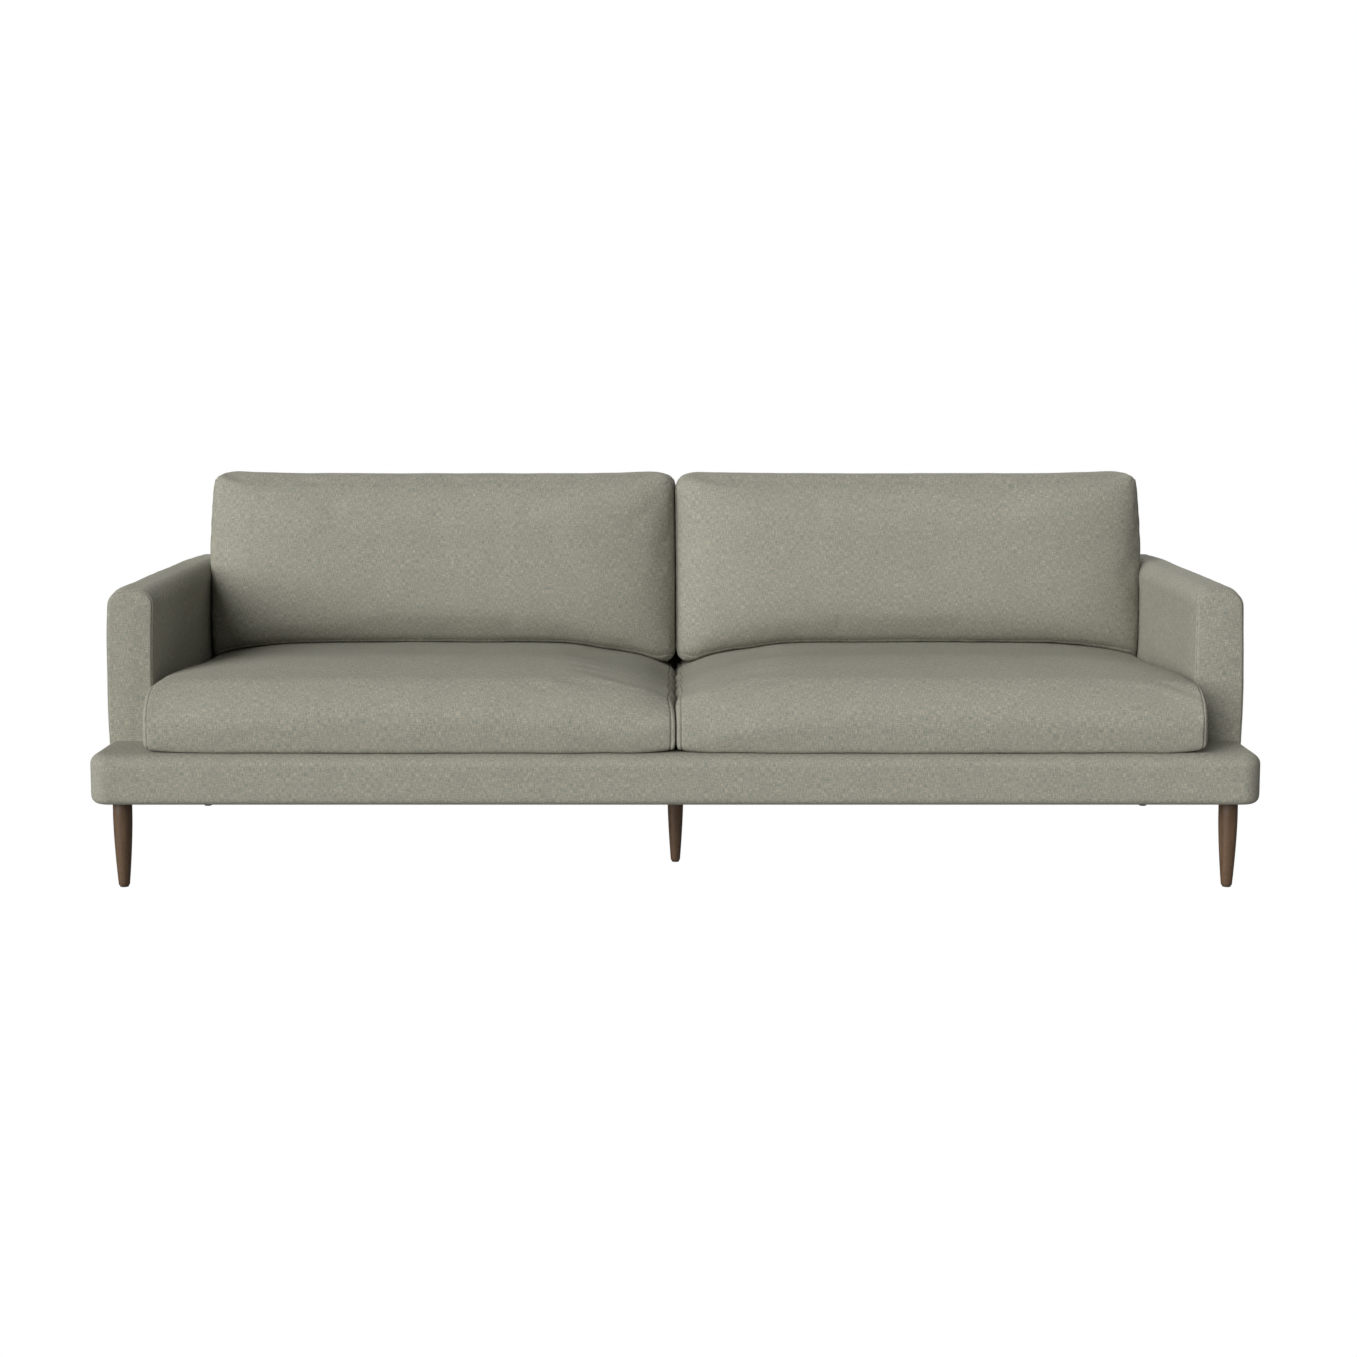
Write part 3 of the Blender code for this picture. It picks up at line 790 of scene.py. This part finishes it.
def arm(side, sign):
    """An arm: a front panel sewn to the band that wraps the rest."""
    low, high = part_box(f"{side}_arm_cover")
    places = box_lines(low, high, (ARM_TOP_ROUND, ARM_REAR_ROUND, ARM_TOP_ROUND), ARM_LINES)
    name, rims = f"{side}_arm_upholstery", (ARM_FRONT_RIM, ARM_FRONT_RIM)
    piece, points, shaped = padded_panel(name, places, ARM_WEAVE + sign, low, high, (0, 2), rims)
    outer = high.x if sign > 0 else low.x
    shaped = round_upright_corner(shaped, (outer, high.y), (-sign, -1), ARM_REAR_ROUND)
    shaped[:, 0] = bowed_out(shaped, low, high, sign)
    write_points(piece.data, shaped)
    to_wall = np.minimum(np.minimum(points[:, 0] - low.x, high.x - points[:, 0]), high.z - points[:, 2])
    on_front = points[:, 1] < low.y + TINY
    behind = np.where(on_front, 0.0, points[:, 1] - low.y)
    mark_seam(piece, np.where(on_front, np.abs(to_wall - ARM_SEAM), ARM_SEAM + behind))
    push(piece.data, arm_puff(points, shaped, low, high, to_wall, on_front, behind))
    refine(piece)
    surface = read_points(piece.data)
    above_foot = smoothstep(0.0, PANEL_FADE, surface[:, 2] - low.z)
    stitch(piece, PANEL_GROOVE, unevenness(surface, ARM_RIPPLES, sign) * above_foot)
    plant(piece, low.z - PANEL_SINK)
    hollow_panel(piece, low.z, f"{side}_arm")
    finish_piece(piece, "upholstery", "frame", f"{side}_arm_cover")


def plant(piece, floor_height):
    """Folds what reaches below the foot flat onto it."""
    points = read_points(piece.data)
    points[:, 2] = np.maximum(points[:, 2], floor_height)
    write_points(piece.data, points)


def hollow_panel(piece, foot, group):
    """Opens the piece from below, round the timber of the group."""
    low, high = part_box(f"{group}_bottom_rail")
    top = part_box(f"{group}_top_rail")[1].z
    cut_box(
        piece,
        (low.x - TIMBER_GAP, low.y - TIMBER_GAP, foot - PANEL_FOLD),
        (high.x + TIMBER_GAP, high.y + TIMBER_GAP, top + TIMBER_GAP),
    )


def back():
    """The low back between the arms, with one seam down the middle of its rear."""
    low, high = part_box("back_cover")
    places = box_lines(low, high, (BACK_END_EDGE, ARM_TOP_ROUND, ARM_TOP_ROUND), BACK_LINES)
    rims = (BACK_END_RIM, BACK_END_RIM)
    piece, points, shaped = padded_panel("back_upholstery", places, BACK_WEAVE, low, high, (1, 2), rims)
    write_points(piece.data, shaped)
    on_rear = points[:, 1] > high.y - TINY
    mark_seam(piece, np.where(on_rear, np.abs(points[:, 0]), FAR_FROM_SEAM))
    refine(piece)
    surface = read_points(piece.data)
    to_end = np.minimum(surface[:, 0] - low.x, high.x - surface[:, 0])
    above_foot = smoothstep(0.0, BACK_FOOT_FADE, surface[:, 2] - low.z)
    inside = above_foot * smoothstep(0.0, BACK_END_FADE, to_end)
    stitch(piece, PANEL_GROOVE, inside * (PANEL_PUFF + unevenness(surface, BACK_RIPPLES)))
    plant(piece, low.z - PANEL_SINK)
    hollow_panel(piece, low.z, "back")
    finish_piece(piece, "upholstery", "frame", "back_cover")


# ---------------------------------------------------------------- cushions


def inflate(piece, pinned, cap):
    """Lets a cloth simulation fill the cushion. Its fabric is larger than its seams, so it puckers."""
    before = read_points(piece.data)
    held = piece.vertex_groups.new(name="held")
    held.add(np.flatnonzero(pinned).tolist(), 1.0, "REPLACE")
    cloth = piece.modifiers.new("inflate", "CLOTH")
    for name, value in CLOTH_SETTINGS.items():
        setattr(cloth.settings, name, value)
    cloth.settings.vertex_group_mass = held.name
    cloth.settings.effector_weights.gravity = 0.0
    cloth.collision_settings.use_collision = False
    cloth.point_cache.frame_start = 1
    cloth.point_cache.frame_end = CLOTH_FRAMES
    scene = bpy.context.scene
    for number in range(1, CLOTH_FRAMES + 1):
        scene.frame_set(number)
    evaluated = piece.evaluated_get(bpy.context.evaluated_depsgraph_get())
    moved = read_points(evaluated.data) - before
    piece.modifiers.clear()
    piece.vertex_groups.clear()
    scene.frame_set(1)
    length = np.linalg.norm(moved, axis=1)
    limited = cap * np.tanh(length / cap) / np.maximum(length, TINY)
    write_points(piece.data, before + moved * limited[:, None])


def finish_cushion(piece, name, sign, ripples, groove):
    """Refines a shaped cushion, draws in its seams and holds it on its own side of the joint down the middle.

    The joint sways with depth only, so that a cushion can be lifted straight up past the next one.
    """
    refine(piece)
    surface = read_points(piece.data)
    stitch(piece, groove, unevenness(surface, ripples, sign))
    surface = read_points(piece.data)
    surface[:, 0] = np.maximum(surface[:, 0] * sign, CLEARANCE / 2) * sign
    surface[:, 0] += SWAY * bell(surface[:, 0], SWAY_REACH) * np.sin(surface[:, 1] * SWAY_DEPTH_WAVES)
    write_points(piece.data, surface)
    finish_piece(piece, "upholstery", name, f"{name}_cover", f"{name}_core")
    return piece


def rest_on(piece, below, reach, sink):
    """Stands a piece on the one below: its lowest part, up to the reach, is lifted, less what sinks in."""
    mesh = below.data
    tree = BVHTree.FromPolygons(
        [vertex.co for vertex in mesh.vertices], [polygon.vertices for polygon in mesh.polygons]
    )
    points = read_points(piece.data)
    bottom, sky = points[:, 2].min(), points[:, 2].max()
    for i in np.flatnonzero(points[:, 2] < bottom + reach):
        x, y, z = points[i]
        hit = tree.ray_cast(Vector((x, y, sky)), Vector((0.0, 0.0, -1.0)))[0]
        if hit is not None:
            top = hit.z + CLEARANCE
            fade = 1 - (z - bottom) / reach
            points[i, 2] = max(z + max(top - sink - bottom, 0.0) * fade, top)
    write_points(piece.data, points)


def seat_top(across, up, from_front, outer_part, low, high, back_front):
    """How far a seat cushion's top stands over its edge: its crown, less its dip and the fall of its ends."""
    crown = 1 - np.abs(across) ** np.where(outer_part, *SEAT_CROWN_POWERS)
    crown *= SEAT_FRONT_SHARE + (1 - SEAT_FRONT_SHARE) * smoothstep(0.0, SEAT_CROWN_DEPTH, from_front)
    dip = smoothstep(SEAT_DIP_START, back_front + SEAT_DIP_UNDER - low.y, from_front)
    to_end = (high.x - low.x) / 2 * (1 - np.abs(across))
    shoulder = np.where(outer_part, *SEAT_SHOULDERS) * np.exp(-to_end / SEAT_SHOULDER_WIDTH)
    return smoothstep(SEAT_CROWN_FROM, 1.0, up) * (SEAT_CROWN * crown - SEAT_DIP * dip - shoulder)


def seat_form(points, low, high, back_front, sign):
    """A seat cushion's shape, from the points of a box that is as high as its edge."""
    top = low.z + SEAT_EDGE
    rims = (SEAT_RIM, SEAT_INNER_RIM)[::-sign]
    shaped = rounded(points, low, (high.x, high.y, top), (1, 2), SEAT_CORNERS, rims)
    across, up = share(shaped[:, 0], low.x, high.x), share(shaped[:, 2], low.z, top)
    from_front = shaped[:, 1] - low.y
    at_corner = smoothstep(SEAT_CORNER_START, 1.0, np.abs(across))
    lift = SEAT_CORNER_LIFT * at_corner - SEAT_SAG * (1 - across**SEAT_SAG_POWER)
    low_front = (1 - up) / 2 * bell(from_front, SEAT_SAG_DEPTH)
    bulge = (1 - across**SEAT_FRONT_BULGE_POWER) * (1 - SEAT_FRONT_BULGE_LOSS * up**2)
    bulge *= bell(from_front, SEAT_FRONT_BULGE_DEPTH)
    shaped[:, 2] += seat_top(across, up, from_front, across * sign > 0, low, high, back_front)
    shaped[:, 2] += lift * low_front
    shaped[:, 1] -= SEAT_FRONT_BULGE * bulge
    shaped[:, 0] += SEAT_BULGE * (1 - up**SEAT_BULGE_POWER) * across**END_POWER
    return shaped


def seat_cushion(side, sign, base):
    """A panel that wraps over the front, sewn to an upright one along each end, on the platform's top."""
    low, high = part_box(f"{side}_seat_cushion_cover")
    back_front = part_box(f"{side}_back_cushion_cover")[0].y
    top = low.z + SEAT_EDGE
    edges = (SEAT_RIM, SEAT_CORNERS[2], SEAT_EDGE_LINES)
    places = box_lines(low, (high.x, high.y, top), edges, SEAT_LINES)
    piece, points = box_grid(f"{side}_seat_cushion", places, SEAT_WEAVE + sign)
    write_points(piece.data, seat_form(points, low, high, back_front, sign))
    from_end = np.minimum(points[:, 0] - low.x, high.x - points[:, 0])
    seam = np.abs(from_end - SEAT_SEAM)
    mark_seam(piece, seam)
    inflate(piece, seam < SEAT_RIM * PINNED_SHARE, SEAT_LIMIT)
    rest_on(piece, base, SEAT_REACH, SEAT_SAG + SEAT_LIMIT)
    shaped = read_points(piece.data)
    shaped[:, 1] = hold_under(shaped[:, 1], high.y, SOFT_HOLD)
    shaped[:, 0] = hold_between(shaped[:, 0], low.x - SEAT_BULGE, high.x + SEAT_BULGE, FIRM_HOLD)
    write_points(piece.data, shaped)
    return finish_cushion(piece, f"{side}_seat_cushion", sign, SEAT_RIPPLES, SEAT_GROOVE)


def between_arms(points, side, sign, low, high):
    """A pillow's places across, held off the other pillow, and off the arm up to where its top rounds off."""
    arm_low, arm_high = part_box(f"{side}_arm_cover")
    arm_face = min(abs(arm_low.x), abs(arm_high.x)) - ARM_BAND_PUFF - CLEARANCE
    over_arm = smoothstep(arm_high.z - ARM_TOP_ROUND, arm_high.z + ARM_TOP_ROUND, points[:, 2])
    outer = arm_face + PILLOW_OUTER_BULGE * over_arm
    inner = min(abs(low.x), abs(high.x)) - PILLOW_BULGE
    outward = hold_under(points[:, 0] * sign, outer, FIRM_HOLD)
    return -hold_under(-outward, -inner, FIRM_HOLD) * sign


def before_back(points):
    """A pillow's places in depth, held off the low back up to a little over its top."""
    low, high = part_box("back_cover")
    held = hold_under(points[:, 1], low.y - PANEL_PUFF - CLEARANCE, SOFT_HOLD)
    low_part = 1 - smoothstep(high.z, high.z + PILLOW_HOLD_FADE, points[:, 2])
    return points[:, 1] + (held - points[:, 1]) * low_part


def pillow_box(low, high):
    """A pillow's box before it leans back, from the box of its cover."""
    rear = high.y - (high.z - low.z) * PILLOW_LEAN
    return (low.x, low.y - PILLOW_FORWARD, low.z - PILLOW_SAG), (high.x, rear, high.z)


def pillow_form(points, low, high, sign):
    """A pillow's shape: crowned in front, tucked under at its foot, full at its ends, and leaning back."""
    box_low, box_high = pillow_box(low, high)
    feet, tops = (PILLOW_RIM, PILLOW_FOOT_CORNER)[::-sign], (PILLOW_RIM, PILLOW_TOP_CORNER)[::-sign]
    shaped = rounded(points, box_low, box_high, (0, 2), (*feet, *tops), (PILLOW_RIM, PILLOW_RIM))
    across, up = share(shaped[:, 0], low.x, high.x), share(shaped[:, 2], box_low[2], box_high[2])
    ahead = np.clip((box_high[1] - shaped[:, 1]) / (box_high[1] - box_low[1]), 0.0, 1.0)
    along_height = 1 - np.abs(up) ** np.where(up < 0, *PILLOW_CROWN_HEIGHT_POWERS)
    crown = ((1 - np.abs(across) ** PILLOW_CROWN_POWER) * along_height) ** PILLOW_CROWN_SOFTNESS
    tuck = np.clip(1 - (shaped[:, 2] - box_low[2]) / PILLOW_TUCK_HEIGHT, 0.0, 1.0) ** PILLOW_TUCK_POWER
    tuck *= 1 - PILLOW_TUCK_LOSS * across**PILLOW_TUCK_END_POWER
    ear = smoothstep(PILLOW_EAR_START, 1.0, up) * (1 - across**PILLOW_EAR_POWER)
    bulge = np.where(across * sign > 0, PILLOW_OUTER_BULGE * np.sqrt(1 - up**2), PILLOW_BULGE)
    shaped[:, 1] += (PILLOW_CROWN * (1 - crown) + PILLOW_TUCK * tuck) * ahead
    shaped[:, 2] -= PILLOW_EAR * ear
    shaped[:, 0] += bulge * across**END_POWER
    shaped[:, 1] += (shaped[:, 2] - low.z) * PILLOW_LEAN
    return shaped


def pillow_seam(points, box_low, box_high):
    """Each point's distance to the nearest seam: one goes round each end, and one along the front's foot."""
    to_end = np.minimum(points[:, 0] - box_low[0], box_high[0] - points[:, 0])
    behind = points[:, 1] - box_low[1]
    inset = np.minimum(np.minimum(behind, box_high[1] - points[:, 1]), box_high[2] - points[:, 2])
    end_seam = np.where(to_end < TINY, np.abs(inset - PILLOW_END_SEAM), to_end + PILLOW_END_SEAM)
    over_seam = points[:, 2] - box_low[2] - PILLOW_FOOT_SEAM
    foot_seam = np.hypot(over_seam, np.maximum(behind - PILLOW_END_SEAM, 0.0))
    return np.minimum(end_seam, foot_seam)


def back_cushion(side, sign, seat):
    """A pillow whose front panel goes over the top, with a gusset that closes its ends and its bottom."""
    low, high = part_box(f"{side}_back_cushion_cover")
    box_low, box_high = pillow_box(low, high)
    places = box_lines(box_low, box_high, (PILLOW_RIM,) * 3, PILLOW_LINES)
    piece, points = box_grid(f"{side}_back_cushion", places, PILLOW_WEAVE + sign)
    write_points(piece.data, pillow_form(points, low, high, sign))
    seam = pillow_seam(points, box_low, box_high)
    mark_seam(piece, seam)
    inflate(piece, seam < PILLOW_RIM * PINNED_SHARE, PILLOW_LIMIT)
    rest_on(piece, seat, PILLOW_TUCK_HEIGHT, PILLOW_SINK)
    shaped = read_points(piece.data)
    shaped[:, 1] = before_back(shaped)
    shaped[:, 0] = between_arms(shaped, side, sign, low, high)
    write_points(piece.data, shaped)
    return finish_cushion(piece, f"{side}_back_cushion", sign, PILLOW_RIPPLES, PILLOW_GROOVE)


# ---------------------------------------------------------------- legs


def turned(name, profile, centre):
    """A closed turned piece. The profile lists (radius, height) down its outer side, from axis to axis."""
    mesh = bpy.data.meshes.new(name)
    points = [(radius, 0.0, height) for radius, height in profile]
    mesh.from_pydata(points, [(i, i + 1) for i in range(len(points) - 1)], [])
    piece = bpy.data.objects.new(name, mesh)
    bpy.context.scene.collection.objects.link(piece)
    screw = piece.modifiers.new("turn", "SCREW")
    screw.steps = TURN_STEPS
    screw.render_steps = TURN_STEPS
    screw.use_merge_vertices = True
    screw.merge_threshold = MERGE_DISTANCE
    screw.use_smooth_shade = True
    apply_modifiers(piece)
    piece.location = (*centre, 0.0)
    piece.data.set_sharp_from_angle(angle=SHARP_ANGLE)
    return piece


def leg_centre(position):
    low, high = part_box(f"{position}_leg")
    return (low.x + high.x) / 2, (low.y + high.y) / 2


def leg(position):
    """A turned leg, straight below the platform and then tapered, with a chamfer at each end."""
    low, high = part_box(f"{position}_leg")
    radius, height = (high.x - low.x) / 2, high.z - low.z
    tip, start, end = radius * LEG_TIP_SHARE, low.z + height * LEG_TAPER_START, low.z + LEG_CHAMFER
    profile = [(0, high.z), (radius - LEG_CHAMFER, high.z), (radius, high.z - LEG_CHAMFER)]
    for step in range(LEG_TAPER_STEPS + 1):
        along = step / LEG_TAPER_STEPS
        profile.append((radius - (radius - tip) * along**LEG_TAPER_POWER, start + (end - start) * along))
    profile += [(tip - LEG_CHAMFER, low.z), (0, low.z)]
    piece = turned(f"{position}_turned_leg", profile, leg_centre(position))
    finish_piece(piece, "walnut", "frame", f"{position}_leg")


def glide(position):
    """The felt disc under a leg."""
    low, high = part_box(f"{position}_glide")
    radius = (high.x - low.x) / 2
    profile = [
        (0, high.z),
        (radius - GLIDE_CHAMFER, high.z),
        (radius, high.z - GLIDE_CHAMFER),
        (radius, low.z + GLIDE_CHAMFER),
        (radius - GLIDE_CHAMFER, low.z),
        (0, low.z),
    ]
    piece = turned(f"{position}_felt_glide", profile, leg_centre(position))
    finish_piece(piece, "felt", "frame", f"{position}_glide")


# ---------------------------------------------------------------- studio


def floor():
    """A plain white floor without shadows, which doesn't throw light back at the object."""
    mesh = bpy.data.meshes.new("floor")
    signs = ((-1, -1), (1, -1), (1, 1), (-1, 1))
    mesh.from_pydata([(x * FLOOR_REACH, y * FLOOR_REACH, 0) for x, y in signs], [], [(0, 1, 2, 3)])
    piece = bpy.data.objects.new("floor", mesh)
    bpy.context.scene.collection.objects.link(piece)
    piece.visible_diffuse = False
    piece.visible_glossy = False
    graph = Graph("floor")
    graph.feed(
        graph.shader,
        {
            "Base Color": BLACK,
            "Roughness": 1.0,
            "Specular IOR Level": 0.0,
            "Emission Color": WHITE,
            "Emission Strength": 1.0,
        },
    )
    mesh.materials.append(graph.material)


def sun(name, towards, strength, spread):
    """Soft, even light from afar. Towards is the direction to it."""
    data = bpy.data.lights.new(name, "SUN")
    data.energy = strength
    data.angle = math.radians(spread)
    light = bpy.data.objects.new(name, data)
    light.rotation_euler = Vector(towards).to_track_quat("Z", "Y").to_euler()
    bpy.context.scene.collection.objects.link(light)


def studio():
    """Plain soft light. The surround is white as seen, and dim as a light."""
    scene = bpy.context.scene
    scene.view_settings.view_transform = "Standard"
    world = bpy.data.worlds.new("studio")
    scene.world = world
    world.use_nodes = True
    tree = world.node_tree
    seen = tree.nodes["Background"]
    lit = tree.nodes.new("ShaderNodeBackground")
    for background, strength in ((seen, 1.0), (lit, SURROUND)):
        background.inputs["Color"].default_value = WHITE
        background.inputs["Strength"].default_value = strength
    path = tree.nodes.new("ShaderNodeLightPath")
    mix = tree.nodes.new("ShaderNodeMixShader")
    tree.links.new(path.outputs["Is Camera Ray"], mix.inputs[0])
    tree.links.new(lit.outputs[0], mix.inputs[1])
    tree.links.new(seen.outputs[0], mix.inputs[2])
    tree.links.new(mix.outputs[0], tree.nodes["World Output"].inputs[0])
    sun("key", *KEY_LIGHT)
    sun("rear", *REAR_LIGHT)


def camera():
    data = bpy.data.cameras.new("camera")
    data.lens = CAMERA_LENS
    data.sensor_width = CAMERA_SENSOR
    data.shift_x, data.shift_y = CAMERA_SHIFT
    obj = bpy.data.objects.new("camera", data)
    obj.location = CAMERA_PLACE
    obj.rotation_euler = (math.pi / 2 - CAMERA_PITCH, 0.0, 0.0)
    bpy.context.scene.collection.objects.link(obj)
    bpy.context.scene.camera = obj


def corners(bounds):
    return [[float(value) for value in corner] for corner in bounds]


materials = make_materials()
camera()
studio()
floor()
dress_cad_nodes()
base = platform()
back()
for side, sign in SIDES:
    arm(side, sign)
for position in LEGS:
    leg(position)
    glide(position)
for side, sign in SIDES:
    back_cushion(side, sign, seat_cushion(side, sign, base))
